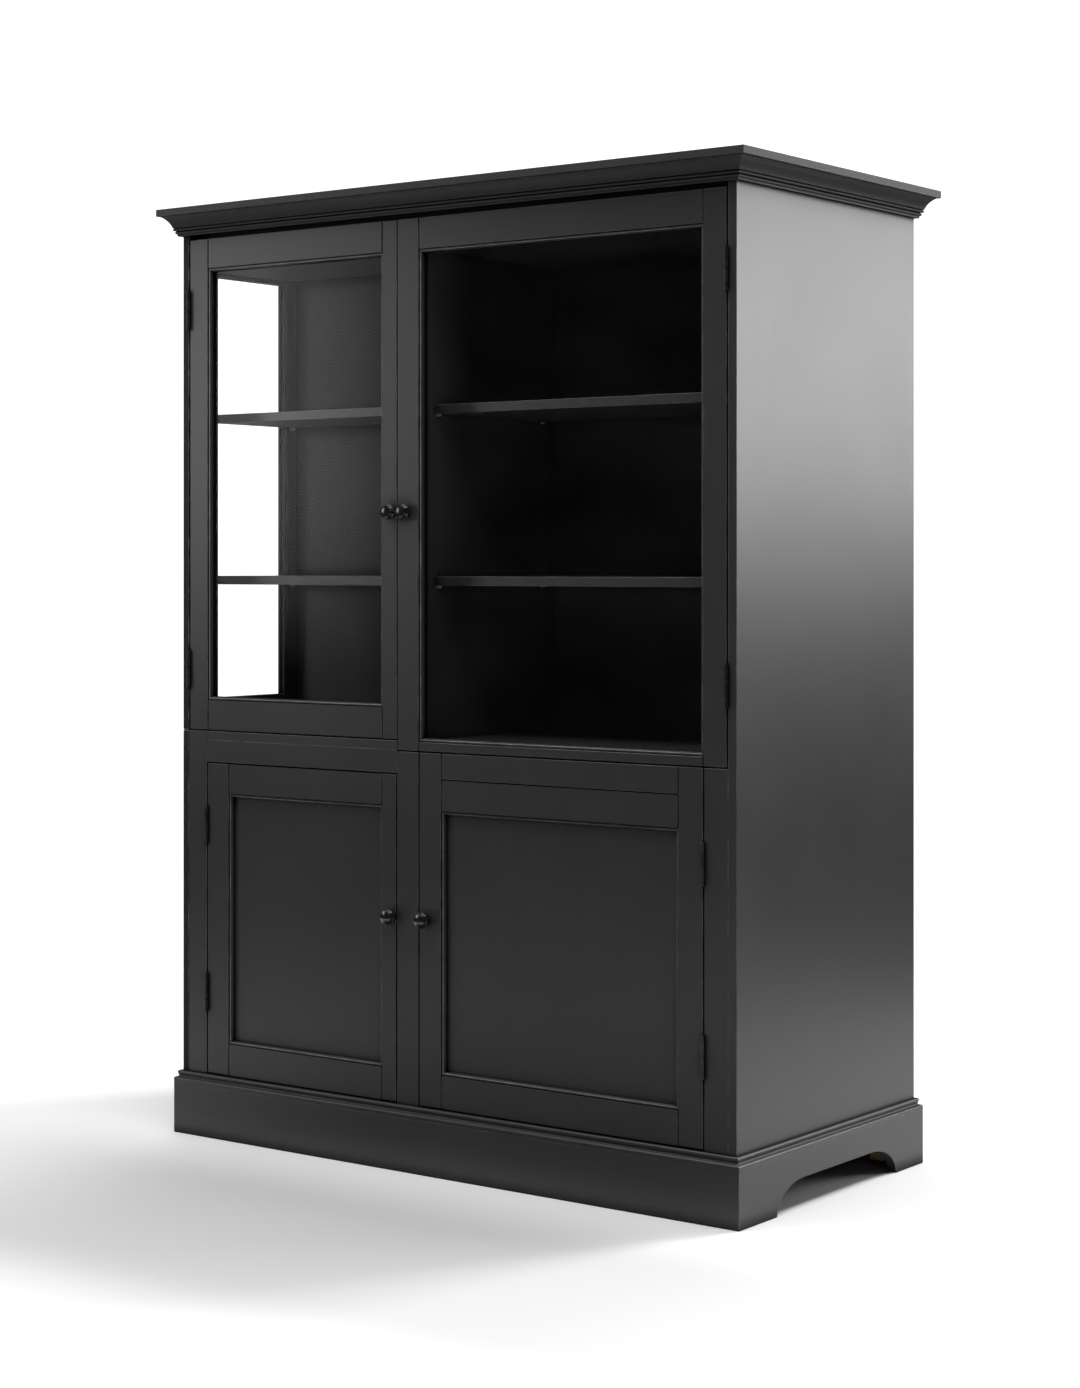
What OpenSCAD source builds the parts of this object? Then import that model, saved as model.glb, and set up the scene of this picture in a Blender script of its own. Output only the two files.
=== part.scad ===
// Curio cabinet: a painted carcase with an asymmetric pair of glazed doors above a
// pair of panelled doors, a glazed light in the left side, a moulded cornice and an
// arched plinth. Millimetres, +Z up. The origin is on the floor under the middle of
// the carcase, the front faces -Y and +X is to the right of someone facing it.

/* [Overall size] */
// Height from the floor to the top of the cornice
total_h = 1900; // [1860:5:1960]
// Width of the carcase over its side panels
body_w = 1350; // [1300:10:1450]
// Depth of the carcase, front face to back face
body_d = 644; // [600:2:700]

/* [Plinth and mouldings] */
// Height of the plinth boards
plinth_h = 104; // [100:1:110]
// Thickness of the plinth boards
plinth_t = 20; // [18:1:24]
// How far the plinth stands out from the carcase
plinth_over = 13; // [12:1:16]
// Height of the base moulding on top of the plinth
base_mould_h = 23; // [23:1:25]
// Height of the cornice
cornice_h = 54; // [54:1:60]
// How far the cornice stands out from the carcase
cornice_over = 39; // [39:1:45]
// Height of the arch in each side of the plinth
arch_h = 55; // [40:1:70]
// Length of the curved end of the arch
arch_curve = 95; // [60:5:110]
// Length of the plinth's front foot, ahead of the arch
front_foot = 128; // [100:2:150]
// Length of the plinth's back foot, behind the arch
back_foot = 107; // [90:1:130]

/* [Boards] */
// Thickness of the carcase boards and shelves
board_t = 18; // [16:1:20]
// Thickness of the back panel
back_t = 8; // [6:1:10]
// Thickness of the doors and of the fixed posts between them
door_t = 24; // [22:1:26]
// Thickness of the glass
glass_t = 4; // [3:1:5]
// Thickness of the panels in the lower doors
panel_t = 9; // [8:1:10]

/* [Layout] */
// Height of the display deck's top
deck_z = 829; // [820:1:840]
// Underside of the ceiling inside the display compartments
ceiling_z = 1776; // [1770:1:1780]
// Top of the upper doors
door_top = 1836; // [1830:1:1840]
// Width of the fixed posts at the two sides
post_w = 50; // [45:1:55]
// Left face of the fixed centre post
centre_lo = -101; // [-110:1:-95]
// Right face of the fixed centre post
centre_hi = -48; // [-54:1:-44]
// Height of the fixed rail under the display deck, left bay
mid_rail_h = 45; // [40:1:50]
// Top of the lower display shelf
shelf_low_z = 1146; // [1100:1:1200]
// Top of the upper display shelf
shelf_high_z = 1481; // [1430:1:1530]
// Top of the shelf in each cupboard
cupboard_shelf_z = 470; // [420:5:520]
// How far the display shelves sit back from the front
shelf_setback = 76; // [70:1:90]
// Depth of the left display bay, from the front to its back board
left_bay_d = 325; // [315:1:400]
// Depth of the right display bay, from the front to its back board
right_bay_d = 454; // [440:1:560]
// Gap around each door
door_gap = 3; // [2:0.5:3]

/* [Doors] */
// Height of the upper doors' top rail, and of the left one's bottom rail
glazed_rail_h = 60; // [55:1:65]
// Height of the slim bottom rail of the upper right door
slim_rail_h = 17; // [15:1:20]
// Height of the lower doors' bottom rail
base_rail_h = 63; // [58:1:68]
// Height of the lower left door's top rail
lower_rail_h = 60; // [55:1:65]
// Height of the upper member of the lower right door's double top rail
cap_rail_h = 49; // [44:1:52]
// Height of the lower member of the double top rail
second_rail_h = 59; // [55:1:62]
// Groove between the two members of the double top rail
rail_groove = 2; // [1.5:0.5:3]
// Width of the hinge stile of each upper door
upper_stile_w = 49; // [45:1:52]
// Width of the left doors' meeting stile
slim_stile_w = 35; // [33:1:38]
// Width of the lower left door's hinge stile
wide_stile_w = 57; // [54:1:60]
// Width of the right doors' stiles
right_stile_w = 52; // [50:1:54]
// Width of the bead around each pane and panel
bead_w = 7; // [6:1:8]
// How far back the panes and panels sit
pane_depth = 12; // [11:1:13]

/* [Side light] */
// Width of the left side's front stile
light_stile_w = 45; // [40:1:50]
// How far back the side glass ends
light_back = 297; // [280:1:300]
// Width of the stile behind the side glass
mullion_w = 30; // [28:1:34]
// Underside of the side glass opening
light_lo = 885; // [880:1:900]
// Top of the side glass opening
light_hi = 1775; // [1765:1:1775]

/* [Knobs and hinges] */
// Diameter of the knob's head
knob_d = 31; // [28:1:32]
// How far a knob stands out from its door
knob_out = 27; // [24:1:30]
// Height of the knobs on the upper doors
upper_knob_z = 1271; // [1200:1:1300]
// Height of the knobs on the lower doors
lower_knob_z = 488; // [450:1:520]
// Length of a hinge
hinge_h = 75; // [70:5:75]
// Radius of a hinge's knuckle
knuckle_r = 4; // [4:0.5:4.5]
// Height of the upper doors' lower hinge
upper_hinge_low = 955; // [920:5:1000]
// Height of the upper doors' upper hinge
upper_hinge_high = 1692; // [1650:1:1720]
// Height of the lower doors' lower hinge
lower_hinge_low = 295; // [250:5:340]
// Height of the lower doors' upper hinge
lower_hinge_high = 638; // [600:1:680]

/* [Wall anchor] */
// Distance between the two anchor holes
anchor_spacing = 1000; // [800:20:1200]
// Radius of the anchor holes
anchor_r = 3; // [2.5:0.5:4]

/* [Hidden] */
$fn = 48;
joint = 0.05;
front = -body_d / 2;
back = body_d / 2;
side_in = body_w / 2 - board_t;
carcase_lo = plinth_h;
floor_top = plinth_h + base_mould_h;
carcase_hi = total_h - board_t;
cornice_lo = total_h - cornice_h;
door_back = front + door_t;
stop_y = door_back + 2;
divider_y = stop_y + board_t;
inner_back = back - back_t;
post_in = side_in - post_w;
divider_x = (centre_lo + centre_hi) / 2;
divider_lo = divider_x - board_t / 2;
divider_hi = divider_x + board_t / 2;
stop_overlap = 24;
stop_lo = centre_lo - stop_overlap;
stop_hi = centre_hi - 2;
stop_low_hi = centre_hi + stop_overlap - 1;
slot_gap = 1.5;
shelf_tops = [shelf_low_z, shelf_high_z];
upper_hinge_z = [upper_hinge_low, upper_hinge_high];
lower_hinge_z = [lower_hinge_low, lower_hinge_high];
right_door_lo = deck_z - board_t;
lower_top = right_door_lo - door_gap;
mid_rail_lo = right_door_lo - mid_rail_h;
light_w = light_back - light_stile_w;
mullion_back = front + light_back + mullion_w;
rear_panel_t = 10;
rear_stile_w = 45;
glass_fit = 0.5;
leaf_t = 0.8;
leaf_w = 22;
pin_r = 2;
pin_fit = 0.05;
knob_inset = 10.5;
right_knob_inset = 20;
pin_y = front - knuckle_r - 0.5;
knuckles = 5;
knuckle_gap = 0.3;
screw_r = 2;
magnet_r = 5;
magnet_len = 8;
magnet_inset = 10;
magnet_drop = 120;
plate_t = 1.2;
shelf_pin_r = 2.5;
pin_reach = 9;
front_pin = 80;
back_pin = 419;
left_back_pin = light_back + mullion_w / 2;
joint_groove = 2;
groove_depth = 3;
anchor_z = (ceiling_z + board_t + carcase_hi) / 2;

// A door is [left x, right x, bottom z, top z, left stile, right stile, bottom rail,
// top rail, hinge side (-1 left, 1 right), knob x, knob z, hinge heights].
UPPER_LEFT = [-side_in + door_gap, centre_lo - 1, deck_z + door_gap, door_top,
              upper_stile_w, slim_stile_w + 1, glazed_rail_h, glazed_rail_h,
              -1, centre_lo - knob_inset, upper_knob_z, upper_hinge_z];
UPPER_RIGHT = [centre_lo + 1, side_in - door_gap, right_door_lo, door_top,
               right_stile_w, upper_stile_w, slim_rail_h, glazed_rail_h,
               1, divider_x, upper_knob_z, upper_hinge_z];
LOWER_LEFT = [-post_in + door_gap, centre_lo - door_gap, floor_top + door_gap,
              mid_rail_lo - door_gap, wide_stile_w, slim_stile_w, base_rail_h,
              lower_rail_h, -1, centre_lo - knob_inset, lower_knob_z, lower_hinge_z];
LOWER_RIGHT = [centre_hi + door_gap, post_in - door_gap, floor_top + door_gap,
               lower_top, right_stile_w, right_stile_w, base_rail_h,
               cap_rail_h + rail_groove + second_rail_h, 1,
               centre_hi + right_knob_inset, lower_knob_z, lower_hinge_z];

// ---- helpers ----

function arc(cx, cy, r, a0, a1, steps = 8) =
    [for (i = [0 : steps]) let (a = a0 + (a1 - a0) * i / steps)
        [cx + r * cos(a), cy + r * sin(a)]];

module slab(x, y, z) {
    translate([x[0], y[0], z[0]])
        cube([x[1] - x[0], y[1] - y[0], z[1] - z[0]]);
}

// A cylinder whose axis runs along +Y from y0 to y1.
module rod_y(x, z, y0, y1, r) {
    translate([x, y0, z])
        rotate([-90, 0, 0])
            cylinder(h = y1 - y0, r = r);
}

module paint() {
    color([0.16, 0.16, 0.17]) children();
}

module steel() {
    color([0.55, 0.56, 0.58]) children();
}

module glass() {
    color([0.8, 0.87, 0.9, 0.3]) children();
}

// A straight run of a profile (x = outwards, y = up), mitred at both ends. It stands
// on the face y = 0 and points along +Y; its length is that of the face behind it.
module mitred_run(length, inner, outer) {
    intersection() {
        translate([-length / 2 - outer, 0, 0])
            rotate([90, 0, 90])
                linear_extrude(length + 2 * outer)
                    children();
        linear_extrude(total_h)
            polygon([[-length / 2 - inner + joint, inner],
                     [length / 2 + inner - joint, inner],
                     [length / 2 + outer - joint, outer],
                     [-length / 2 - outer + joint, outer]]);
    }
}

module on_front() {
    translate([0, front, 0]) rotate(180) children();
}

module on_back() {
    translate([0, back, 0]) children();
}

module on_right() {
    translate([body_w / 2, 0, 0]) rotate(-90) children();
}

module on_left() {
    translate([-body_w / 2, 0, 0]) rotate(90) children();
}

// Four mitred sticks around a w by h opening centred on the origin, in the XZ plane.
// The child is the section: x = in from the opening's edge, y = depth along +Y.
module mitred_frame(w, h, stick) {
    for (side = [0 : 3]) {
        odd = side % 2 == 1;
        length = odd ? h : w;
        reach = odd ? w : h;
        rotate([0, 90 * side, 0])
            translate([0, 0, -reach / 2])
                intersection() {
                    translate([-length / 2, 0, 0])
                        rotate([90, 0, 90])
                            linear_extrude(length)
                                mirror([1, -1, 0])
                                    children();
                    rotate([90, 0, 0])
                        translate([0, 0, -door_t])
                            linear_extrude(2 * door_t)
                                polygon([[-length / 2 + joint, 0], [length / 2 - joint, 0],
                                         [length / 2 - joint - stick, stick],
                                         [-length / 2 + joint + stick, stick]]);
                }
    }
}

// ---- plinth ----

// The arch in a side board, along its length: from_x is the arch's first end.
module arch_outline(from_x, to_x) {
    left_end = [for (p = arc(0, 0, 1, 180, 90, 10))
                   [from_x + arch_curve * (1 + p[0]), arch_h * p[1]]];
    right_end = [for (p = arc(0, 0, 1, 90, 0, 10))
                    [to_x - arch_curve * (1 - p[0]), arch_h * p[1]]];
    polygon(concat([[from_x, -1]], left_end, right_end, [[to_x, -1]]));
}

module plinth_board(length) {
    mitred_run(length, plinth_over - plinth_t, plinth_over)
        translate([plinth_over - plinth_t, 0])
            square([plinth_t, plinth_h]);
}

// toward_front is 1 where the run's +X end is the cabinet's front.
module plinth_side(toward_front) {
    half = body_d / 2 + plinth_over;
    lo = -half + (toward_front > 0 ? back_foot : front_foot);
    hi = half - (toward_front > 0 ? front_foot : back_foot);
    difference() {
        plinth_board(body_d);
        translate([0, plinth_over + 1, 0])
            rotate([90, 0, 0])
                linear_extrude(plinth_t + 2)
                    arch_outline(lo, hi);
    }
}

module plinth_front() {
    paint() on_front() plinth_board(body_w);
}

module plinth_back() {
    paint() on_back() plinth_board(body_w);
}

module plinth_left() {
    paint() on_left() plinth_side(-1);
}

module plinth_right() {
    paint() on_right() plinth_side(1);
}

// Glue blocks in the plinth's four corners, clear of the floor.
module plinth_blocks() {
    block = 55;
    inset = plinth_t - plinth_over;
    color([0.6, 0.5, 0.36])
        for (sx = [-1, 1], sy = [-1, 1])
            translate([sx * (body_w / 2 - inset - block / 2),
                       sy * (body_d / 2 - inset - block / 2), plinth_h / 2 + 5])
                cube([block, block, plinth_h - 10], center = true);
}

// ---- mouldings ----

module base_profile() {
    h = base_mould_h;
    over = plinth_over;
    bead_r = 3.6;
    translate([0, plinth_h])
        polygon(concat(
            [[0, 0], [over, 0], [over, 6]],
            arc(over - 4, 6, 4, 0, 90),
            arc(over - 4, 13.5, 3.5, -90, -180),
            arc(over - bead_r - 5.5, h - bead_r, bead_r, -20, 90),
            [[0, h]]));
}

module base_moulding() {
    paint() {
        on_front() mitred_run(body_w, 0, plinth_over) base_profile();
        on_back() mitred_run(body_w, 0, plinth_over) base_profile();
        on_left() mitred_run(body_d, 0, plinth_over) base_profile();
        on_right() mitred_run(body_d, 0, plinth_over) base_profile();
    }
}

module cornice_profile() {
    over = cornice_over;
    h = cornice_h;
    fascia = 14;
    cove_r = 39.9;
    translate([0, total_h - h])
        polygon(concat(
            [[0, 0], [8, 0], [8, 4]],
            arc(8.5, 7, 3, -80, 80),
            [[9, 10.5], [12, 10.5]],
            arc(12.5, 13.2, 2.4, -80, 80),
            [[13, 16.2]],
            arc(over + 14.1, 5.1, cove_r, 162.7, 121.9),
            [[over - 7, h - fascia], [over, h - fascia], [over, h], [0, h]]));
}

module cornice_front() {
    paint() on_front() mitred_run(body_w, 0, cornice_over) cornice_profile();
}

module cornice_returns() {
    paint() {
        on_left() mitred_run(body_d, 0, cornice_over) cornice_profile();
        on_right() mitred_run(body_d, 0, cornice_over) cornice_profile();
        on_back() mitred_run(body_w, 0, cornice_over) cornice_profile();
    }
}

// ---- carcase ----

module bottom_panel() {
    paint()
        slab([-side_in, side_in], [front, inner_back], [floor_top - board_t, floor_top]);
}

module right_side_panel() {
    paint() slab([side_in, body_w / 2], [front, back], [carcase_lo, carcase_hi]);
}

module left_side_lower_panel() {
    paint() slab([-body_w / 2, -side_in], [front, back], [carcase_lo, deck_z]);
}

// The left side's upper frame: a front stile, a rear stile and one behind the glass.
module left_side_stiles() {
    x = [-body_w / 2, -side_in];
    z = [deck_z, carcase_hi];
    paint() {
        slab(x, [front, front + light_stile_w], z);
        slab(x, [front + light_back, mullion_back], z);
        slab(x, [back - rear_stile_w, back], z);
    }
}

module left_side_rails() {
    paint()
        for (y = [[front + light_stile_w, front + light_back],
                  [mullion_back, back - rear_stile_w]],
             z = [[deck_z, light_lo], [light_hi, carcase_hi]])
            slab([-body_w / 2, -side_in], y, z);
}

// A thin solid panel fills the frame behind the glass, sunk on both faces.
module left_side_rear_panel() {
    mid = -body_w / 2 + board_t / 2;
    paint()
        slab([mid - rear_panel_t / 2, mid + rear_panel_t / 2],
             [mullion_back, back - rear_stile_w], [light_lo, light_hi]);
}

module left_side_glass() {
    mid = -body_w / 2 + board_t / 2;
    glass()
        slab([mid - glass_t / 2, mid + glass_t / 2],
             [front + light_stile_w + glass_fit, front + light_back - glass_fit],
             [light_lo + glass_fit, light_hi - glass_fit]);
}

// Square beads that hold the side glass from both faces.
module left_side_bead() {
    depth = (board_t - glass_t) / 2;
    paint()
        for (x = [-body_w / 2, -side_in - depth])
            translate([x, front + light_stile_w + light_w / 2, (light_lo + light_hi) / 2])
                rotate([0, 0, 90])
                    translate([0, -depth, 0])
                        mitred_frame(light_w, light_hi - light_lo, bead_w)
                            square([bead_w, depth]);
}

module divider_panel() {
    paint()
        slab([divider_lo, divider_hi], [divider_y, inner_back], [floor_top, ceiling_z]);
}

// The board behind the doors' free edges: they close against it and it carries the
// catch magnets. Below the deck it is wide enough to reach the lower right door.
module meeting_post() {
    paint()
        difference() {
            translate([0, divider_y, 0])
                rotate([90, 0, 0])
                    linear_extrude(board_t)
                        polygon([[stop_lo, floor_top], [stop_low_hi, floor_top],
                                 [stop_low_hi, right_door_lo], [stop_hi, right_door_lo],
                                 [stop_hi, ceiling_z], [stop_lo, ceiling_z]]);
            for (d = [UPPER_LEFT, UPPER_RIGHT, LOWER_LEFT, LOWER_RIGHT])
                rod_y(magnet_x(d), d[10] - magnet_drop, stop_y - 1,
                      stop_y + magnet_len, magnet_r);
        }
}

module back_panel() {
    paint()
        difference() {
            slab([-side_in, side_in], [inner_back, back], [carcase_lo, carcase_hi]);
            for (sx = [-1, 1])
                rod_y(sx * anchor_spacing / 2, anchor_z, inner_back - 1, back + 1,
                      anchor_r);
        }
}

// Each display bay has its own back board, forward of the carcase's back panel.
module bay_back(x, depth) {
    slab(x, [front + depth, front + depth + back_t], [deck_z, ceiling_z]);
}

module display_backs() {
    paint() {
        bay_back([-side_in, divider_lo], left_bay_d);
        bay_back([divider_hi, side_in], right_bay_d);
    }
}

module ceiling_panel() {
    paint()
        slab([-side_in, side_in], [stop_y, inner_back], [ceiling_z, ceiling_z + board_t]);
}

module head_rail() {
    paint()
        slab([-side_in, side_in], [stop_y, stop_y + board_t],
             [ceiling_z + board_t, carcase_hi]);
}

module anchor_rail() {
    paint()
        difference() {
            slab([-side_in, side_in], [inner_back - board_t, inner_back],
                 [ceiling_z + board_t, carcase_hi]);
            for (sx = [-1, 1])
                rod_y(sx * anchor_spacing / 2, anchor_z, inner_back - board_t + 4,
                      inner_back + 1, anchor_r);
        }
}

module top_panel() {
    paint()
        slab([-body_w / 2, body_w / 2], [front, back], [carcase_hi, total_h]);
}

// One display deck each side of the divider, cut around the board behind the doors.
module decks() {
    z = [deck_z - board_t, deck_z];
    paint()
        difference() {
            union() {
                slab([-side_in, divider_lo], [door_back, inner_back], z);
                slab([divider_hi, side_in], [stop_y, inner_back], z);
            }
            slab([stop_lo, stop_hi], [door_back - 1, divider_y], [z[0] - 1, z[1] + 1]);
        }
}

module deck_lip() {
    paint()
        slab([-post_in, centre_lo - 1], [front, door_back], [deck_z - board_t, deck_z]);
}

module mid_rail() {
    paint()
        slab([-post_in, centre_lo], [front, door_back], [mid_rail_lo, deck_z - board_t]);
}

module left_post() {
    paint()
        slab([-side_in, -post_in], [front, door_back], [floor_top, deck_z]);
}

module centre_post() {
    paint()
        slab([centre_lo, centre_hi], [front, stop_y], [floor_top, lower_top]);
}

module right_post() {
    paint() slab([post_in, side_in], [front, stop_y], [floor_top, lower_top]);
}

// ---- shelves ----

module shelf(x, y, top) {
    slab([x[0] + slot_gap, x[1] - slot_gap], [y[0], y[1] - 1], [top - board_t, top]);
}

module shelf_stack(x, bay_back) {
    paint() {
        for (top = shelf_tops)
            shelf(x, [front + shelf_setback, bay_back], top);
        shelf(x, [front + 2 * shelf_setback, inner_back], cupboard_shelf_z);
    }
}

module left_shelves() {
    shelf_stack([-side_in, divider_lo], front + left_bay_d);
}

module right_shelves() {
    shelf_stack([divider_hi, side_in], front + right_bay_d);
}

// Steel pins at one end of a shelf, butted against the board that carries them.
module pins(x, depths, top) {
    for (depth = depths)
        translate([x, front + depth, top - board_t - shelf_pin_r])
            rotate([0, 90, 0])
                cylinder(h = pin_reach, r = shelf_pin_r);
}

// The left display shelves rest on the stile behind the side glass at that end.
module shelf_pins() {
    steel() {
        for (top = shelf_tops) {
            pins(-side_in, [left_back_pin], top);
            pins(divider_lo - pin_reach, [front_pin, left_back_pin], top);
            pins(divider_hi, [front_pin, back_pin], top);
            pins(side_in - pin_reach, [front_pin, back_pin], top);
        }
        for (x = [-side_in, divider_lo - pin_reach, divider_hi, side_in - pin_reach])
            pins(x, [front_pin + shelf_setback, back_pin], cupboard_shelf_z);
    }
}

// ---- hinges ----

function pin_x(d) = d[8] < 0 ? d[0] - door_gap / 2 : d[1] + door_gap / 2;

// One leaf about a pin axis at the origin, door to the -X side. rows are the
// knuckles that this leaf carries; plate_x is where its plate lies.
module leaf(rows, plate_x) {
    pitch = hinge_h / knuckles;
    wood_y = front - pin_y;
    difference() {
        union() {
            translate([plate_x, wood_y + 0.5, -hinge_h / 2])
                cube([leaf_t, leaf_w, hinge_h]);
            for (row = rows)
                translate([0, 0, -hinge_h / 2 + row * pitch + knuckle_gap / 2]) {
                    cylinder(h = pitch - knuckle_gap, r = knuckle_r);
                    translate([plate_x, 0, 0])
                        cube([leaf_t, wood_y + 1, pitch - knuckle_gap]);
                }
        }
        translate([0, 0, -hinge_h])
            cylinder(h = 2 * hinge_h, r = pin_r + pin_fit);
    }
}

module at_hinges(d) {
    for (z = d[11])
        translate([pin_x(d), pin_y, z])
            mirror([d[8] < 0 ? 1 : 0, 0, 0])
                children();
}

module door_leaves(d) {
    at_hinges(d) leaf([1, 3], -door_gap / 2);
}

module frame_hinge_leaves() {
    steel()
        for (d = [UPPER_LEFT, UPPER_RIGHT, LOWER_LEFT, LOWER_RIGHT])
            at_hinges(d) leaf([0, 2, 4], door_gap / 2 - leaf_t);
}

module hinge_pins() {
    cap = 2;
    steel()
        for (d = [UPPER_LEFT, UPPER_RIGHT, LOWER_LEFT, LOWER_RIGHT])
            at_hinges(d) {
                cylinder(h = hinge_h + 2, r = pin_r, center = true);
                for (s = [-1, 1])
                    translate([0, 0, s * (hinge_h / 2 + cap / 2 + 0.3)])
                        cylinder(h = cap, r = knuckle_r - 0.5, center = true);
            }
}

// ---- doors ----

function magnet_x(d) = d[8] < 0 ? d[1] - magnet_inset : d[0] + magnet_inset;

function opening_w(d) = d[1] - d[5] - d[0] - d[4];

function opening_h(d) = d[3] - d[7] - d[2] - d[6];

function opening_x(d) = (d[0] + d[4] + d[1] - d[5]) / 2;

function opening_z(d) = (d[2] + d[6] + d[3] - d[7]) / 2;

// The knob's screw: a bore through the stile and a sunk head at its back.
module screw_room(d) {
    rod_y(d[9], d[10], front - 1, door_back + 1, screw_r + 0.2);
    rod_y(d[9], d[10], door_back - 3, door_back + 1, 2 * screw_r + 0.5);
}

module door_stiles(d) {
    paint()
        difference() {
            union() {
                slab([d[0], d[0] + d[4]], [front, door_back], [d[2], d[3]]);
                slab([d[1] - d[5], d[1]], [front, door_back], [d[2], d[3]]);
            }
            screw_room(d);
        }
}

// A rail between a door's stiles. A fine groove shows where it meets each of them.
module rail(d, z) {
    x = [d[0] + d[4], d[1] - d[5]];
    slab(x, [front + groove_depth, door_back], z);
    slab([x[0] + joint_groove, x[1] - joint_groove], [front, front + groove_depth], z);
}

module door_rails(d) {
    paint() {
        rail(d, [d[2], d[2] + d[6]]);
        rail(d, [d[3] - d[7], d[3]]);
    }
}

// The lower right door has two members at its top, with a groove between them.
module double_rails(d) {
    paint() {
        rail(d, [d[2], d[2] + d[6]]);
        rail(d, [d[3] - cap_rail_h, d[3]]);
        rail(d, [d[3] - d[7], d[3] - d[7] + second_rail_h]);
    }
}

module door_pane(d, thickness, fit) {
    translate([opening_x(d), front + pane_depth + thickness / 2, opening_z(d)])
        cube([opening_w(d) - 2 * fit, thickness, opening_h(d) - 2 * fit], center = true);
}

// Bevelled sticks in front of the pane, and square ones behind a glass pane. A fine
// quirk parts each bevelled stick from the frame.
module door_bead(d, glazed) {
    face_step = 2;
    quirk = 1.4;
    quirk_depth = 6;
    paint()
        translate([opening_x(d), front, opening_z(d)]) {
            mitred_frame(opening_w(d), opening_h(d), bead_w)
                polygon([[0, quirk_depth], [quirk, quirk_depth], [quirk, face_step],
                         [bead_w - 2.5, face_step], [bead_w, pane_depth - 5],
                         [bead_w, pane_depth], [0, pane_depth]]);
            if (glazed)
                translate([0, pane_depth + glass_t, 0])
                    mitred_frame(opening_w(d), opening_h(d), bead_w)
                        square([bead_w, door_t - pane_depth - glass_t]);
        }
}

// A turned mushroom knob, standing out of the door along -Y.
module door_knob(d) {
    r = knob_d / 2;
    foot_r = 8;
    neck_r = 5;
    color([0.05, 0.05, 0.055])
        translate([d[9], front, d[10]])
            rotate([90, 0, 0])
                difference() {
                    rotate_extrude($fn = 64)
                        polygon(concat(
                            [[0, 0], [foot_r, 0], [foot_r, 1.5]],
                            arc(foot_r, 1.5 + 4, 4, 270, 200, 6),
                            [[neck_r, 9]],
                            arc(neck_r + 4, 9, 4, 180, 90, 6),
                            arc(r - 3, 16, 3, -90, 40, 6),
                            arc(0, knob_out - 30, 30, 66, 90, 8)));
                    translate([0, 0, -1])
                        cylinder(h = 15, r = screw_r);
                }
}

// Metal fittings of a door: hinge leaves, knob screw and the catch's strike plate.
module door_fittings(d) {
    steel() {
        door_leaves(d);
        rod_y(d[9], d[10], front - 13, door_back - 1, screw_r);
        rod_y(d[9], d[10], door_back - 2.8, door_back - 0.8, 2 * screw_r);
        rod_y(magnet_x(d), d[10] - magnet_drop, door_back, door_back + plate_t,
              magnet_r + 1);
    }
}

module catch_magnets() {
    steel()
        for (d = [UPPER_LEFT, UPPER_RIGHT, LOWER_LEFT, LOWER_RIGHT])
            rod_y(magnet_x(d), d[10] - magnet_drop, stop_y, stop_y + magnet_len,
                  magnet_r);
}

// ---- assembly ----

plinth_front();
plinth_back();
plinth_left();
plinth_right();
plinth_blocks();
base_moulding();
bottom_panel();
right_side_panel();
left_side_lower_panel();
left_side_stiles();
left_side_rails();
left_side_rear_panel();
left_side_glass();
left_side_bead();
divider_panel();
meeting_post();
back_panel();
display_backs();
ceiling_panel();
head_rail();
top_panel();
decks();
deck_lip();
mid_rail();
left_post();
centre_post();
right_post();
left_shelves();
right_shelves();
shelf_pins();
cornice_front();
cornice_returns();
frame_hinge_leaves();
hinge_pins();
catch_magnets();
anchor_rail();
door_stiles(UPPER_LEFT);  // upper_left_stiles
door_rails(UPPER_LEFT);  // upper_left_rails
glass() door_pane(UPPER_LEFT, glass_t, glass_fit);  // upper_left_glass
door_bead(UPPER_LEFT, true);  // upper_left_bead
door_knob(UPPER_LEFT);  // upper_left_knob
door_fittings(UPPER_LEFT);  // upper_left_fittings
door_stiles(UPPER_RIGHT);  // upper_right_stiles
door_rails(UPPER_RIGHT);  // upper_right_rails
glass() door_pane(UPPER_RIGHT, glass_t, glass_fit);  // upper_right_glass
door_bead(UPPER_RIGHT, true);  // upper_right_bead
door_knob(UPPER_RIGHT);  // upper_right_knob
door_fittings(UPPER_RIGHT);  // upper_right_fittings
door_stiles(LOWER_LEFT);  // lower_left_stiles
door_rails(LOWER_LEFT);  // lower_left_rails
paint() door_pane(LOWER_LEFT, panel_t, 0);  // lower_left_panel
door_bead(LOWER_LEFT, false);  // lower_left_bead
door_knob(LOWER_LEFT);  // lower_left_knob
door_fittings(LOWER_LEFT);  // lower_left_fittings
door_stiles(LOWER_RIGHT);  // lower_right_stiles
double_rails(LOWER_RIGHT);  // lower_right_rails
paint() door_pane(LOWER_RIGHT, panel_t, 0);  // lower_right_panel
door_bead(LOWER_RIGHT, false);  // lower_right_bead
door_knob(LOWER_RIGHT);  // lower_right_knob
door_fittings(LOWER_RIGHT);  // lower_right_fittings
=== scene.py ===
"""Looks for the curio cabinet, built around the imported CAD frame. Metres, Z up."""

import math

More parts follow.
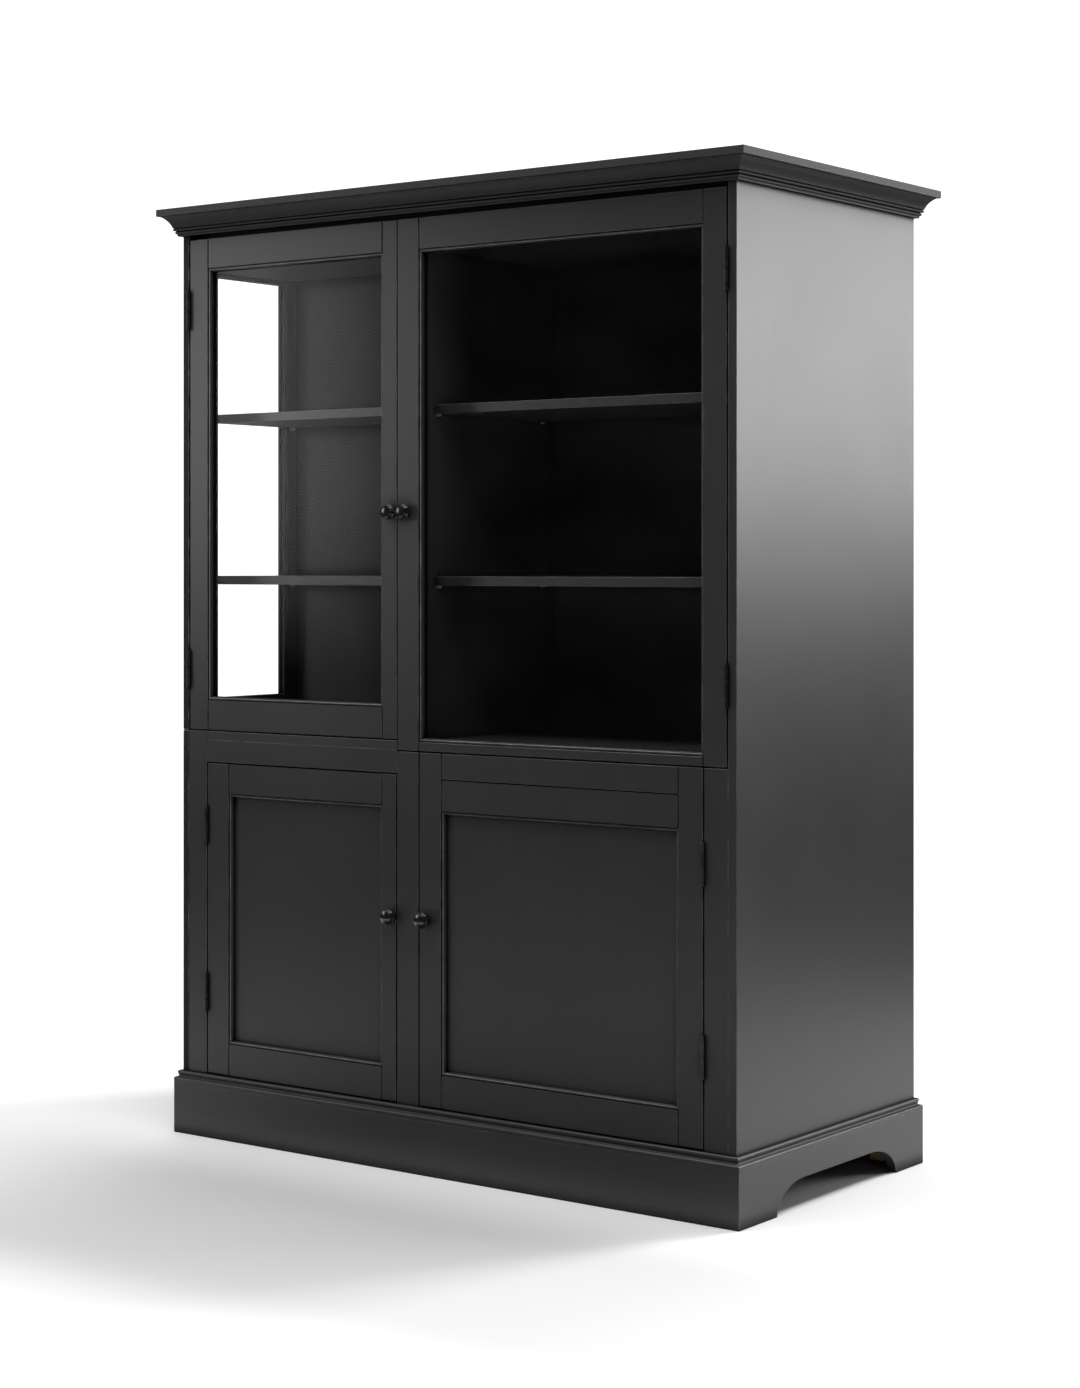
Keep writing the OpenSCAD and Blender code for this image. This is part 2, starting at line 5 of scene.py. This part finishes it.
import bmesh
import bpy
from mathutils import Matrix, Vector


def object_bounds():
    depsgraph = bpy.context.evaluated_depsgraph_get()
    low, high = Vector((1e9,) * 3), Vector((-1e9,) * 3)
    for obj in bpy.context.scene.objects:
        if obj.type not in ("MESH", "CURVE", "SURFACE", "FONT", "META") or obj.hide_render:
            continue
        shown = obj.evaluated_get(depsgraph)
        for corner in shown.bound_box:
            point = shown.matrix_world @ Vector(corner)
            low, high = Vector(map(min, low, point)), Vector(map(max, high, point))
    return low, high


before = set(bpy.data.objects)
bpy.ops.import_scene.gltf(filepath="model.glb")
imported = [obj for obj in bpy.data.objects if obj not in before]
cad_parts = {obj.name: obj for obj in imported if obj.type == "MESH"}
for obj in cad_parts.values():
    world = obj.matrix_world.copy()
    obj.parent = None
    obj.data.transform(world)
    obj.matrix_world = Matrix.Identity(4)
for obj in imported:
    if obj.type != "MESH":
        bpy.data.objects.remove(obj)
cad_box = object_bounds()

MM = 0.001
# The picture's height in the units of the camera's focal length, and the sensor's in mm.
IMAGE_H = 1388
SENSOR = 36.0

# ---------------------------------------------------------------- which node is what

DOORS = ("upper_left", "upper_right", "lower_left", "lower_right")
GRAIN_UP = ("left_side_stiles", "left_side_lower_panel", "left_side_rear_panel",
            "right_side_panel", "divider_panel", "meeting_post", "back_panel",
            "display_backs", "left_post", "centre_post", "right_post",
            "upper_left_stiles", "upper_right_stiles", "lower_left_stiles",
            "lower_right_stiles", "lower_left_panel", "lower_right_panel")
GRAIN_DEEP = ("plinth_left", "plinth_right", "left_side_rails")
GRAIN_WIDE = ("plinth_front", "plinth_back", "bottom_panel", "ceiling_panel",
              "head_rail", "top_panel", "decks", "deck_lip", "mid_rail",
              "left_shelves", "right_shelves", "anchor_rail", "upper_left_rails",
              "upper_right_rails", "lower_left_rails", "lower_right_rails")
MOULDED = ("base_moulding", "cornice_front", "cornice_returns", "left_side_bead",
           "upper_left_bead", "upper_right_bead", "lower_left_bead",
           "lower_right_bead")
# Drilled boards whose broad faces would crease if their edges were rounded.
DRILLED = ("back_panel", "anchor_rail", "meeting_post")
# The left side is duller and browner; its outer boards also have well rounded edges.
WORN = ("left_side_stiles", "left_side_lower_panel")
WORN_INFILL = ("left_side_rails", "left_side_rear_panel")
GLAZED = ("left_side_glass", "upper_left_glass", "upper_right_glass")
HINGES = ("frame_hinge_leaves", "hinge_pins", "upper_left_fittings",
          "upper_right_fittings", "lower_left_fittings", "lower_right_fittings")

# ---------------------------------------------------------------- shader building

NOISE_SPAN = (0.3, 0.7)
CREASE_SAMPLES = 8
FULLY_OPEN = 0.92


def material(name):
    """A new material with one Principled shader: (material, tree, shader)."""
    made = bpy.data.materials.new(name)
    made.use_nodes = True
    tree = made.node_tree
    tree.nodes.clear()
    out = tree.nodes.new("ShaderNodeOutputMaterial")
    shader = tree.nodes.new("ShaderNodeBsdfPrincipled")
    tree.links.new(shader.outputs[0], out.inputs[0])
    return made, tree, shader


def coordinates(tree, scale):
    """Object coordinates in metres, multiplied by scale on each axis."""
    source = tree.nodes.new("ShaderNodeTexCoord")
    mapping = tree.nodes.new("ShaderNodeMapping")
    mapping.inputs["Scale"].default_value = scale
    tree.links.new(source.outputs["Object"], mapping.inputs["Vector"])
    return mapping.outputs["Vector"]


def noise(tree, scale, detail=3.0, rough=0.5):
    """Noise whose size is set per axis, in features per metre."""
    n = tree.nodes.new("ShaderNodeTexNoise")
    n.inputs["Scale"].default_value = 1.0
    n.inputs["Detail"].default_value = detail
    n.inputs["Roughness"].default_value = rough
    tree.links.new(coordinates(tree, scale), n.inputs["Vector"])
    return n.outputs["Fac"]


def even(count):
    """The same number of features per metre on each axis."""
    return (count, count, count)


def spread(tree, value, lo, hi, out_lo, out_hi, smooth=False):
    """value from lo..hi mapped to out_lo..out_hi, eased at both ends if smooth."""
    m = tree.nodes.new("ShaderNodeMapRange")
    if smooth:
        m.interpolation_type = "SMOOTHSTEP"
    limits = {"From Min": lo, "From Max": hi, "To Min": out_lo, "To Max": out_hi}
    for socket, number in limits.items():
        m.inputs[socket].default_value = number
    tree.links.new(value, m.inputs["Value"])
    return m.outputs["Result"]


def blend_colours(tree, factor, a, b):
    """Colour a where factor is 0 and b where it is 1; each is a colour or a socket."""
    m = tree.nodes.new("ShaderNodeMix")
    m.data_type = "RGBA"
    tree.links.new(factor, m.inputs["Factor"])
    for socket, colour in ((m.inputs[6], a), (m.inputs[7], b)):
        if isinstance(colour, tuple):
            socket.default_value = (*colour, 1.0)
        else:
            tree.links.new(colour, socket)
    return m.outputs[2]


def combine(tree, kind, a, b):
    """A Math node on two sockets or numbers."""
    m = tree.nodes.new("ShaderNodeMath")
    m.operation = kind
    for socket, value in ((m.inputs[0], a), (m.inputs[1], b)):
        if isinstance(value, (int, float)):
            socket.default_value = value
        else:
            tree.links.new(value, socket)
    return m.outputs[0]


def weighted(tree, a, share, b):
    """share of socket a and the rest of socket b, added."""
    return combine(tree, "ADD", combine(tree, "MULTIPLY", a, share),
                   combine(tree, "MULTIPLY", b, 1 - share))


def bump(tree, shader, height, depth):
    """Relief on a shader's surface, depth metres from lowest to highest."""
    b = tree.nodes.new("ShaderNodeBump")
    b.inputs["Distance"].default_value = depth
    b.inputs["Strength"].default_value = 1.0
    tree.links.new(height, b.inputs["Height"])
    tree.links.new(b.outputs["Normal"], shader.inputs["Normal"])


def creases(tree, reach, shut=0.35):
    """A mask for painted shade: 0 in gaps and inner corners, 1 on open faces; shut is what
    counts as closed in.
    """
    hollow = tree.nodes.new("ShaderNodeAmbientOcclusion")
    hollow.samples = CREASE_SAMPLES
    hollow.inputs["Distance"].default_value = reach
    return spread(tree, hollow.outputs["AO"], shut, FULLY_OPEN, 0, 1)


# ---------------------------------------------------------------- materials

# Brush marks, in features per metre: long along one axis and fine across it.
ALONG = {"x": (5, 260, 260), "y": (260, 5, 260), "z": (260, 260, 5)}
# Each pair is a surface's two colours, which its noise blends.
BLACK = ((0.031, 0.031, 0.032), (0.044, 0.0435, 0.043))
WORN_BLACK = ((0.01, 0.009, 0.0085), (0.029, 0.0262, 0.0236))
SAWN_WOOD = ((0.56, 0.4, 0.24), (0.42, 0.27, 0.14))
HINGE_BLACK = ((0.02, 0.02, 0.021), (0.07, 0.066, 0.062))
ENAMEL_BLACK = ((0.008, 0.008, 0.009), (0.018, 0.0175, 0.017))
NICKEL = ((0.66, 0.66, 0.65), (0.84, 0.84, 0.83))
# Near-black painted shade for gaps and inner corners.
PAINTED_CREASE_SHADE = (0.004, 0.004, 0.004)
# How far the painted shade of a crease reaches into the paint around it.
FACE_CREASE = 34 * MM
EDGE_CREASE = 9 * MM
EDGE_SHUT = 0.62
# Specular level in creases, lowered there as painted shade, and on open faces, and the
# paint's roughness.
SHUT_GLEAM = 0.04
OPEN_GLEAM = 0.5
SATIN = (0.3, 0.36)
# Roughness added in creases, part of their painted shade.
CREASE_ROUGHENING = 0.55
CLOUD_SHARE = 0.65


def satin_paint(axis, name, dull=0.0, colours=BLACK):
    """Satin black paint brushed along one axis, with painted shade in its creases; dull
    takes some of its shine off.
    """
    made, tree, shader = material(name)
    clouds = noise(tree, even(2.2), detail=4.0)
    streaks = noise(tree, ALONG[axis], detail=3.0, rough=0.6)
    peel = noise(tree, even(900), detail=2.0)
    tone = weighted(tree, clouds, CLOUD_SHARE, streaks)
    colour = blend_colours(tree, spread(tree, tone, *NOISE_SPAN, 0, 1), *colours)
    # Painted shade: near black in the colour, more roughness and a lower specular level in
    # gaps and inner corners.
    open_face = creases(tree, FACE_CREASE)
    crease_shaded_colour = blend_colours(tree, open_face, PAINTED_CREASE_SHADE, colour)
    tree.links.new(crease_shaded_colour, shader.inputs["Base Color"])
    rougher_in_creases = spread(tree, open_face, 0, 1, CREASE_ROUGHENING, 0)
    satin = spread(tree, tone, *NOISE_SPAN, SATIN[0] + dull, SATIN[1] + dull)
    tree.links.new(combine(tree, "ADD", satin, rougher_in_creases), shader.inputs["Roughness"])
    gleam = spread(tree, open_face, 0, 1, SHUT_GLEAM, OPEN_GLEAM - max(dull, 0))
    tree.links.new(gleam, shader.inputs["Specular IOR Level"])
    bump(tree, shader, weighted(tree, streaks, 0.5, peel), depth=0.00002)
    return made


def rubbed_edge(name, painted, worn):
    """Edge paint rubbed through in patches, with painted shade in its creases; where its
    painted colour is lighter than the faces, that is a painted highlight.
    """
    made, tree, shader = material(name)
    patches = noise(tree, even(30), detail=5.0, rough=0.65)
    wear = spread(tree, patches, 0.42, 0.68, 0, 1)
    colour = blend_colours(tree, wear, painted, worn)
    # Painted shade: near black in the colour and a lower specular level where the edge runs
    # into a gap or inner corner.
    open_edge = creases(tree, EDGE_CREASE, EDGE_SHUT)
    crease_shaded_colour = blend_colours(tree, open_edge, PAINTED_CREASE_SHADE, colour)
    tree.links.new(crease_shaded_colour, shader.inputs["Base Color"])
    gleam = spread(tree, open_edge, 0, 1, SHUT_GLEAM, OPEN_GLEAM)
    tree.links.new(gleam, shader.inputs["Specular IOR Level"])
    rough = spread(tree, patches, *NOISE_SPAN, 0.26, 0.42)
    tree.links.new(rough, shader.inputs["Roughness"])
    bump(tree, shader, noise(tree, even(700), detail=3.0), depth=0.00008)
    return made


def bare_wood():
    """Sawn softwood for the glue blocks inside the plinth."""
    made, tree, shader = material("sawn_softwood")
    rings = noise(tree, (40, 40, 6), detail=5.0, rough=0.6)
    fibres = noise(tree, (400, 400, 20), detail=3.0)
    colour = blend_colours(tree, spread(tree, rings, 0.35, 0.65, 0, 1), *SAWN_WOOD)
    tree.links.new(colour, shader.inputs["Base Color"])
    rough = spread(tree, fibres, *NOISE_SPAN, 0.6, 0.8)
    tree.links.new(rough, shader.inputs["Roughness"])
    bump(tree, shader, fibres, depth=0.0003)
    return made


GLASS_TINT = (0.992, 0.996, 0.994, 1.0)
GLASS_HAZE = (0.7, 0.72, 0.72, 1.0)
HEAD_ON_MIRROR = 0.009
GRAZING_MIRROR = 0.96
GRAZING_POWER = 5.0
PANE_HAZE = (0.0005, 0.004)


def pane_glass():
    """Thin clear glass: a faint mirror that grows at grazing angles, a trace of haze."""
    made, tree, shader = material("pane_glass")
    tree.nodes.remove(shader)
    out = tree.nodes["Material Output"]
    clear = tree.nodes.new("ShaderNodeBsdfTransparent")
    clear.inputs["Color"].default_value = GLASS_TINT
    gloss = tree.nodes.new("ShaderNodeBsdfGlossy")
    gloss.inputs["Roughness"].default_value = 0.02
    haze = tree.nodes.new("ShaderNodeBsdfDiffuse")
    haze.inputs["Color"].default_value = GLASS_HAZE
    facing = tree.nodes.new("ShaderNodeLayerWeight")
    facing.inputs["Blend"].default_value = 0.5
    grazing = combine(tree, "POWER", facing.outputs["Facing"], GRAZING_POWER)
    grown = combine(tree, "MULTIPLY", grazing, GRAZING_MIRROR)
    mirror_share = combine(tree, "ADD", grown, HEAD_ON_MIRROR)
    smears = noise(tree, (3, 3, 5), detail=5.0, rough=0.6)
    film = tree.nodes.new("ShaderNodeMixShader")
    tree.links.new(spread(tree, smears, 0.35, 0.7, *PANE_HAZE), film.inputs["Fac"])
    tree.links.new(clear.outputs[0], film.inputs[1])
    tree.links.new(haze.outputs[0], film.inputs[2])
    mirror = tree.nodes.new("ShaderNodeMixShader")
    tree.links.new(mirror_share, mirror.inputs["Fac"])
    tree.links.new(film.outputs[0], mirror.inputs[1])
    tree.links.new(gloss.outputs[0], mirror.inputs[2])
    tree.links.new(mirror.outputs[0], out.inputs["Surface"])
    return made


def black_steel():
    """Blackened hinge steel, rubbed a little brighter in patches."""
    made, tree, shader = material("blackened_steel")
    patches = noise(tree, even(60), detail=4.0, rough=0.6)
    grains = noise(tree, (1500, 1500, 400), detail=2.0)
    colour = blend_colours(tree, spread(tree, patches, 0.4, 0.75, 0, 1), *HINGE_BLACK)
    tree.links.new(colour, shader.inputs["Base Color"])
    shader.inputs["Metallic"].default_value = 0.35
    rough = spread(tree, patches, *NOISE_SPAN, 0.26, 0.4)
    tree.links.new(rough, shader.inputs["Roughness"])
    bump(tree, shader, grains, depth=0.00003)
    return made


def knob_enamel():
    """Glossy black enamel on the turned knobs."""
    made, tree, shader = material("knob_enamel")
    patches = noise(tree, even(90), detail=4.0, rough=0.6)
    peel = noise(tree, even(700), detail=2.0)
    colour = blend_colours(tree, spread(tree, patches, 0.35, 0.7, 0, 1), *ENAMEL_BLACK)
    tree.links.new(colour, shader.inputs["Base Color"])
    rough = spread(tree, patches, *NOISE_SPAN, 0.12, 0.2)
    tree.links.new(rough, shader.inputs["Roughness"])
    shader.inputs["Coat Weight"].default_value = 0.5
    shader.inputs["Coat Roughness"].default_value = 0.06
    bump(tree, shader, peel, depth=0.00002)
    return made


def pin_steel():
    """Bright nickel-plated steel for shelf pins and catch magnets."""
    made, tree, shader = material("nickel_steel")
    patches = noise(tree, even(120), detail=4.0)
    brushing = noise(tree, (60, 2500, 2500), detail=2.0)
    colour = blend_colours(tree, spread(tree, patches, *NOISE_SPAN, 0, 1), *NICKEL)
    tree.links.new(colour, shader.inputs["Base Color"])
    shader.inputs["Metallic"].default_value = 0.5
    rough = spread(tree, brushing, *NOISE_SPAN, 0.25, 0.4)
    tree.links.new(rough, shader.inputs["Roughness"])
    bump(tree, shader, brushing, depth=0.00002)
    return made


# ---------------------------------------------------------------- finishing CAD nodes

JOINED = 0.00001
SHARP_ANGLE = math.radians(35)
BOARD_EDGE = 1.0 * MM
WORN_EDGE = 2.6 * MM
WORN_EDGE_STEPS = 3
INNER_EDGE = 0.5 * MM
CORNICE_EDGE = 0.8 * MM
BEAD_EDGE = 0.6 * MM
# How much of the paint's shine is gone; below 0 it is polished.
WORN_DULL = 0.32
INNER_DULL = 0.16
CORNICE_DULL = 0.17
BEAD_DULL = -0.06
# Edge colours: painted, and rubbed. The painted colour of the boards' and beads' edges is
# lighter than their faces as a painted highlight; the worn left side's is not.
EDGE_HIGHLIGHT_AND_WEAR = ((0.06, 0.059, 0.058), (0.2, 0.17, 0.14))
# Bead edges lighter still: a bright painted highlight, with wear.
BEAD_HIGHLIGHT_AND_WEAR = ((0.16, 0.155, 0.15), (0.4, 0.36, 0.31))
DEEP_WEAR = ((0.03, 0.028, 0.025), (0.2, 0.15, 0.11))


def dress(name, *materials):
    """Gives a CAD node its materials; the second one is for its softened edges."""
    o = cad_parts[name]
    o.data.materials.clear()
    for m in materials:
        o.data.materials.append(m)
    return o


def soften(o, width, segments=2):
    """Rounds a CAD node's hard edges by a hair, and gives them its second material."""
    weld = o.modifiers.new("join_corners", "WELD")
    weld.merge_threshold = JOINED
    bevel = o.modifiers.new("soft_edges", "BEVEL")
    bevel.width = width
    bevel.segments = segments
    bevel.limit_method = "ANGLE"
    bevel.angle_limit = SHARP_ANGLE
    bevel.material = 1
    bevel.harden_normals = True
    bevel.use_clamp_overlap = True


def worn_paint(axis):
    """The left side's paint: duller and a little browner than the rest."""
    return satin_paint(axis, "worn_black_" + axis, WORN_DULL, WORN_BLACK)


def finish_boards(highlit_edge_finish):
    """Paint for every flat board, brushed along its grain."""
    deep_wear = rubbed_edge("worn_to_wood", *DEEP_WEAR)
    worn_faces = {"y": worn_paint("y"), "z": worn_paint("z")}
    inner_face = satin_paint("z", "dull_black", INNER_DULL)
    for axis, names in (("z", GRAIN_UP), ("y", GRAIN_DEEP), ("x", GRAIN_WIDE)):
        face = satin_paint(axis, "satin_black_" + axis)
        for name in names:
            if name in WORN:
                soften(dress(name, worn_faces[axis], deep_wear), WORN_EDGE, WORN_EDGE_STEPS)
            elif name in WORN_INFILL:
                soften(dress(name, worn_faces[axis], deep_wear), BOARD_EDGE)
            elif name in DRILLED:
                dress(name, face)
            elif name == "display_backs":
                soften(dress(name, inner_face, highlit_edge_finish), INNER_EDGE)
            else:
                soften(dress(name, face, highlit_edge_finish), BOARD_EDGE)


def finish_mouldings(highlit_edge_finish):
    """Duller paint on the cornice and shinier paint on the rest; their edges are lighter as
    a painted highlight, brightest on the beads, and rubbed in patches.
    """
    # Bead edges: a bright painted highlight, lighter again where rubbed.
    bead_highlight_wear_paint = rubbed_edge("bead_edge_highlight", *BEAD_HIGHLIGHT_AND_WEAR)
    polished = satin_paint("x", "polished_black", BEAD_DULL)
    cornice_face = satin_paint("x", "cornice_black", CORNICE_DULL)
    for name in MOULDED:
        if name.startswith("cornice"):
            soften(dress(name, cornice_face, highlit_edge_finish), CORNICE_EDGE)
        else:
            soften(dress(name, polished, bead_highlight_wear_paint), BEAD_EDGE)


def finish_fittings():
    """Glass, hinges, knobs, pins, magnets and glue blocks."""
    glass = pane_glass()
    for name in GLAZED:
        dress(name, glass)
    steel = black_steel()
    for name in HINGES:
        dress(name, steel)
    enamel = knob_enamel()
    for door in DOORS:
        dress(door + "_knob", enamel)
    bright = pin_steel()
    dress("shelf_pins", bright)
    dress("catch_magnets", bright)
    dress("plinth_blocks", bare_wood())


# Board and cornice edge paint: lighter than the faces as a painted highlight, and rubbed in
# patches.
edge_highlight_paint = rubbed_edge("highlit_edge_wear", *EDGE_HIGHLIGHT_AND_WEAR)
finish_boards(edge_highlight_paint)
finish_mouldings(edge_highlight_paint)
finish_fittings()

# ---------------------------------------------------------------- floor, world, lights

FLOOR_WHITE = (0.86, 0.86, 0.865, 1.0)
FLOOR_RADIUS = 3.3
FLOOR_FADE = (1.9, 3.2)
FLOOR_SIDES = 96
FLOOR_GAP = 0.0005
FLAG_BLACK = (0.01, 0.01, 0.01, 1.0)


def floor_material():
    """Matt white, fading out with distance from the cabinet into the white world."""
    made, tree, shader = material("studio_floor")
    out = tree.nodes["Material Output"]
    shader.inputs["Base Color"].default_value = FLOOR_WHITE
    shader.inputs["Roughness"].default_value = 0.9
    shader.inputs["Specular IOR Level"].default_value = 0.1
    source = tree.nodes.new("ShaderNodeTexCoord")
    length = tree.nodes.new("ShaderNodeVectorMath")
    length.operation = "LENGTH"
    tree.links.new(source.outputs["Object"], length.inputs[0])
    fade = spread(tree, length.outputs["Value"], *FLOOR_FADE, 0, 1, smooth=True)
    clear = tree.nodes.new("ShaderNodeBsdfTransparent")
    mix = tree.nodes.new("ShaderNodeMixShader")
    tree.links.new(fade, mix.inputs["Fac"])
    tree.links.new(shader.outputs[0], mix.inputs[1])
    tree.links.new(clear.outputs[0], mix.inputs[2])
    tree.links.new(mix.outputs[0], out.inputs["Surface"])
    return made


def make_floor():
    """A round floor, a hair under the plinth."""
    mesh = bpy.data.meshes.new("floor")
    bm = bmesh.new()
    bmesh.ops.create_circle(bm, cap_ends=True, segments=FLOOR_SIDES, radius=FLOOR_RADIUS)
    bm.to_mesh(mesh)
    bm.free()
    o = bpy.data.objects.new("floor", mesh)
    bpy.context.scene.collection.objects.link(o)
    o.location.z = cad_box[0].z - FLOOR_GAP
    mesh.materials.append(floor_material())


def make_world(seen, felt):
    """White to the eye; a dim even grey for everything it lights."""
    world = bpy.data.worlds.new("studio")
    bpy.context.scene.world = world
    world.use_nodes = True
    tree = world.node_tree
    tree.nodes.clear()
    out = tree.nodes.new("ShaderNodeOutputWorld")
    path = tree.nodes.new("ShaderNodeLightPath")
    mix = tree.nodes.new("ShaderNodeMixShader")
    for slot, level in ((1, felt), (2, seen)):
        back = tree.nodes.new("ShaderNodeBackground")
        back.inputs["Color"].default_value = (level, level, level, 1.0)
        tree.links.new(back.outputs[0], mix.inputs[slot])
    tree.links.new(path.outputs["Is Camera Ray"], mix.inputs["Fac"])
    tree.links.new(mix.outputs[0], out.inputs["Surface"])


def area_light(name, azimuth, elevation, distance, size, watts, aim=(0, 0, 0.9)):
    """A softbox in that direction: azimuth from +X towards +Y, both in degrees."""
    data = bpy.data.lights.new(name, "AREA")
    data.shape = "RECTANGLE"
    data.size, data.size_y = size
    data.energy = watts
    o = bpy.data.objects.new(name, data)
    bpy.context.scene.collection.objects.link(o)
    turn = math.radians(azimuth)
    rise = math.radians(elevation)
    flat = math.cos(rise)
    away = Vector((math.cos(turn) * flat, math.sin(turn) * flat, math.sin(rise)))
    o.location = Vector(aim) + away * distance
    o.rotation_euler = away.to_track_quat("Z", "Y").to_euler()
    o.visible_camera = False


def unseen_sheet(name, place, facing, size):
    """A sheet centred on place, turned to face a point; the camera never sees it."""
    mesh = bpy.data.meshes.new(name)
    bm = bmesh.new()
    bmesh.ops.create_grid(bm, x_segments=1, y_segments=1, size=1)
    bm.to_mesh(mesh)
    bm.free()
    o = bpy.data.objects.new(name, mesh)
    bpy.context.scene.collection.objects.link(o)
    o.location = place
    o.scale = (size[0] / 2, size[1] / 2, 1)
    o.rotation_euler = (Vector(facing) - Vector(place)).to_track_quat("Z", "Y").to_euler()
    o.visible_camera = False
    o.visible_shadow = False
    return mesh


def edge_fade(tree, softness):
    """1 in the middle of a sheet, falling smoothly to 0 at its four edges."""
    source = tree.nodes.new("ShaderNodeTexCoord")
    split = tree.nodes.new("ShaderNodeSeparateXYZ")
    tree.links.new(source.outputs["Object"], split.inputs[0])
    fades = []
    for axis in (0, 1):
        off = combine(tree, "ABSOLUTE", split.outputs[axis], 0)
        fades.append(spread(tree, off, 1 - softness[axis], 1, 1, 0, smooth=True))
    return combine(tree, "MULTIPLY", fades[0], fades[1])


def soft_panel(name, place, facing, size, level, softness):
    """A glowing sheet with soft edges, for gentle reflections in paint and glass."""
    mesh = unseen_sheet(name, place, facing, size)
    made, tree, shader = material(name)
    tree.nodes.remove(shader)
    glow = tree.nodes.new("ShaderNodeEmission")
    strength = combine(tree, "MULTIPLY", edge_fade(tree, softness), level)
    tree.links.new(strength, glow.inputs["Strength"])
    tree.links.new(glow.outputs[0], tree.nodes["Material Output"].inputs["Surface"])
    mesh.materials.append(made)


def dark_flag(name, place, facing, size, softness):
    """A black sheet with soft edges that keeps some of the floor's light off the front."""
    mesh = unseen_sheet(name, place, facing, size)
    made, tree, shader = material(name)
    shader.inputs["Base Color"].default_value = FLAG_BLACK
    shader.inputs["Roughness"].default_value = 1.0
    shader.inputs["Specular IOR Level"].default_value = 0.0
    clear = tree.nodes.new("ShaderNodeBsdfTransparent")
    mix = tree.nodes.new("ShaderNodeMixShader")
    tree.links.new(edge_fade(tree, softness), mix.inputs["Fac"])
    tree.links.new(clear.outputs[0], mix.inputs[1])
    tree.links.new(shader.outputs[0], mix.inputs[2])
    tree.links.new(mix.outputs[0], tree.nodes["Material Output"].inputs["Surface"])
    mesh.materials.append(made)


def make_camera(place, yaw, focal, shift):
    """A level camera at place, turned yaw degrees left of +Y."""
    data = bpy.data.cameras.new("camera")
    data.sensor_fit = "AUTO"
    data.sensor_width = SENSOR
    data.lens = SENSOR * focal / IMAGE_H
    data.shift_y = shift
    data.clip_end = 100
    o = bpy.data.objects.new("camera", data)
    bpy.context.scene.collection.objects.link(o)
    o.location = place
    o.rotation_euler = (math.radians(90), 0, math.radians(yaw))
    bpy.context.scene.camera = o


make_floor()
make_world(seen=1.25, felt=0.03)
area_light("key", azimuth=59, elevation=42, distance=5.5, size=(1.2, 1.6), watts=155)
area_light("side_sheen", azimuth=54, elevation=9, distance=6.0, size=(2.8, 1.7), watts=126,
           aim=(0.675, 0, 1.2))
area_light("overhead", azimuth=-90, elevation=86, distance=3.6, size=(5.0, 5.0), watts=370)
soft_panel("front_panel", place=(-2.8, -2.4, 1.75), facing=(-0.38, -0.322, 1.4),
           size=(2.0, 2.0), level=3.2, softness=(0.8, 0.7))
dark_flag("floor_flag", place=(0.2, -0.86, 0.006), facing=(0.2, -0.86, 9),
          size=(3.0, 1.1), softness=(0.7, 0.6))
make_camera(place=(3.184, -4.272, 1.168), yaw=36.665, focal=2652.4, shift=-0.0928)
bpy.context.scene.view_settings.view_transform = "Standard"
